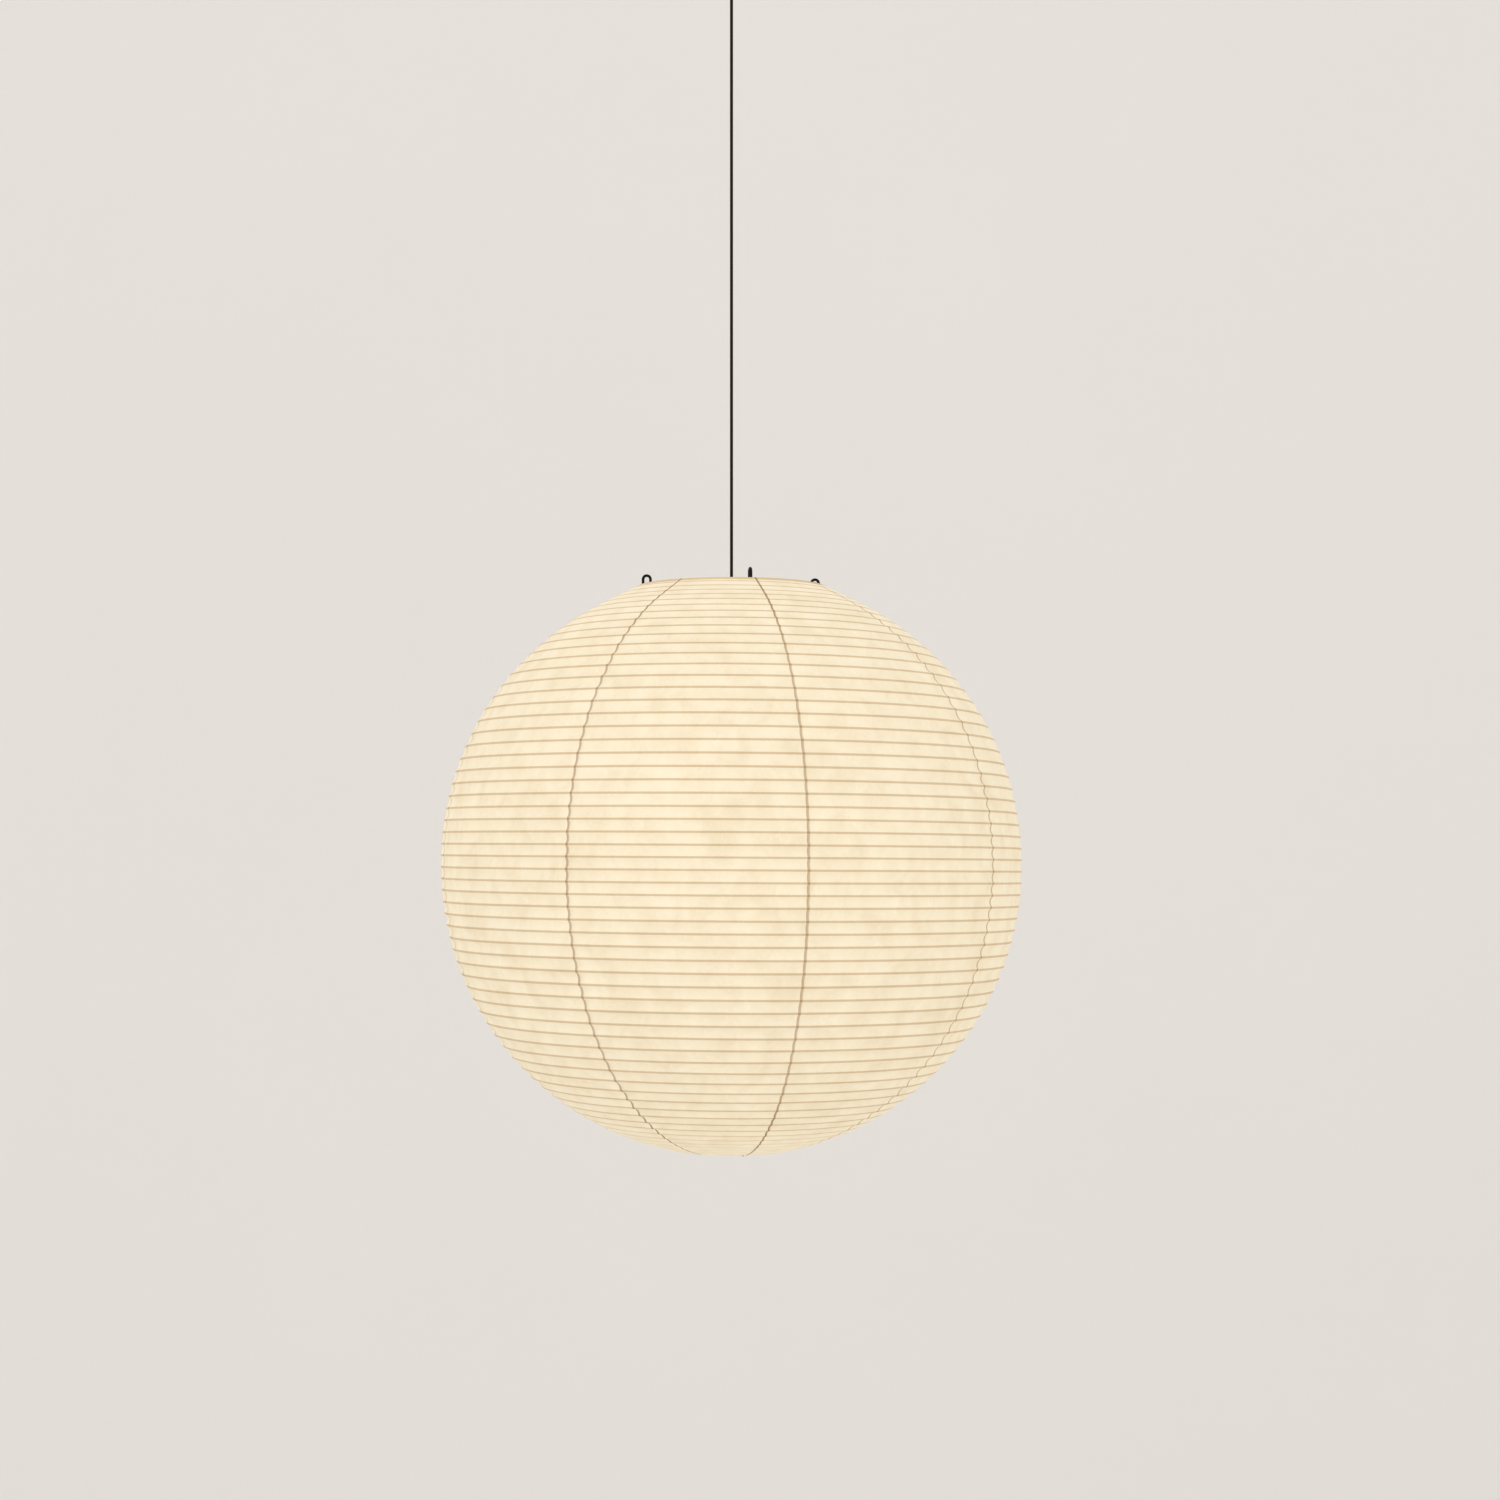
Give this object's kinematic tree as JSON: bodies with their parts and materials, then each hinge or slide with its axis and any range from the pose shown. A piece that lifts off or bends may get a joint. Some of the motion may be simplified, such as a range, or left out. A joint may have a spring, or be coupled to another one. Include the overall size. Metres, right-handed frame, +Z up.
{
  "type": "paper lantern pendant",
  "caption": "Round paper lantern hung on a cord: spiral bamboo rib in a gored paper ball, folding wire frame, lampholder, bulb and ceiling canopy.",
  "frame": {"origin": "centre of the ceiling bracket's upper face, where it meets the ceiling", "axes": "+Z up towards the ceiling, the front of the lantern towards -Y, the bracket along X"},
  "size_m": [0.75, 0.75, 1.5708],
  "materials": {
    "shade_paper": "matt fibrous paper, warm white",
    "binding_paper": "matt paper strip with glue, tan",
    "bamboo": "split bamboo, satin",
    "black_wire": "black lacquer, satin",
    "cord_cover": "dark brown-black sheath, satin",
    "core_insulation": "smooth insulation",
    "black_plastic": "fine satin moulding",
    "canopy_black": "powder coat",
    "zinc_steel": "zinc plated",
    "white_plastic": "moulded",
    "white_ceramic": "unglazed",
    "brass": "bright",
    "bulb_cap_metal": "rolled thread",
    "bulb_body_white": "moulded",
    "bulb_board_white": "white solder mask",
    "light_chip": "phosphor",
    "bulb_opal": "opal diffuser"
  },
  "bodies": {
    "canopy": {"ceiling_bracket": "zinc_steel", "canopy_cup": "canopy_black", "canopy_side_screws": "zinc_steel", "cord_grip": "black_plastic", "cord_grip_screw": "black_plastic", "cord_grip_nut": "black_plastic", "cord_tail": "cord_cover", "terminal_block": "white_plastic", "terminal_screws": "zinc_steel", "ceiling_cores": "core_insulation"},
    "cord_bend": {"cord_bend": "cord_cover"},
    "cord": {"cord": "cord_cover"},
    "lantern": {"holder_shell": "black_plastic", "holder_shade_ring": "black_plastic", "holder_cap": "black_plastic", "holder_cord_bush": "black_plastic", "holder_insert": "white_ceramic", "holder_terminal_screws": "brass", "holder_screw_sleeve": "brass", "holder_centre_contact": "brass", "holder_cores": "core_insulation", "frame_outer_arms": "black_wire", "frame_outer_legs": "black_wire", "frame_rivet": "black_wire", "top_hoop": "black_wire", "top_binding": "binding_paper", "bamboo_rib": "bamboo", "paper_gore_1": "shade_paper", "paper_gore_2": "shade_paper", "paper_gore_3": "shade_paper", "paper_gore_4": "shade_paper", "paper_gore_5": "shade_paper", "paper_gore_6": "shade_paper", "paper_gore_7": "shade_paper", "paper_gore_8": "shade_paper"},
    "inner_frame": {"frame_inner_arms": "black_wire", "frame_inner_legs": "black_wire"},
    "lower_hoop": {"bottom_hoop": "black_wire", "bottom_binding": "binding_paper"},
    "bulb_centre": {"bulb_tip": "brass"},
    "bulb": {"bulb_insulator": "black_plastic", "bulb_screw_cap": "bulb_cap_metal", "bulb_body": "bulb_body_white", "bulb_board": "bulb_board_white", "bulb_chips": "light_chip", "bulb_diffuser": "bulb_opal"}
  },
  "joints": [
    {"name": "swing_side", "type": "hinge", "parent": "canopy", "child": "cord_bend", "pos_m": [0, 0, -0.0574], "axis": [0, 1, 0], "range_deg": [-25, 25]},
    {"name": "swing_fore_aft", "type": "hinge", "parent": "cord_bend", "child": "cord", "pos_m": [0, 0, -0.0574], "axis": [1, 0, 0], "range_deg": [-25, 25]},
    {"name": "turn_on_cord", "type": "hinge", "parent": "cord", "child": "lantern", "pos_m": [0, 0, -0.84451], "axis": [0, 0, 1], "range_deg": [-180, 180], "stiffness_Nm_per_rad": 0.003},
    {"name": "frame_fold", "type": "hinge", "parent": "lantern", "child": "inner_frame", "pos_m": [0, 0, -0.87961], "axis": [0, 0, 1], "range_deg": [-80, 80]},
    {"name": "shade_fold", "type": "slide", "parent": "lantern", "child": "lower_hoop", "axis": [0, 0, 1], "range_m": [0, 0.65], "deforming": ["paper_gore_1", "paper_gore_2", "paper_gore_3", "paper_gore_4", "paper_gore_5", "paper_gore_6", "paper_gore_7", "paper_gore_8", "bamboo_rib"]},
    {"name": "bulb_travel", "type": "slide", "parent": "lantern", "child": "bulb_centre", "axis": [0, 0, -1], "range_m": [0, 0.0273]},
    {"name": "bulb_turn", "type": "hinge", "parent": "bulb_centre", "child": "bulb", "pos_m": [0, 0, -0.88251], "axis": [0, 0, -1], "range_deg": [0, 2700]}
  ],
  "couplings": [
    {"joint": "bulb_travel", "follows": "bulb_turn", "m_per_rad": 0.00057757}
  ]
}
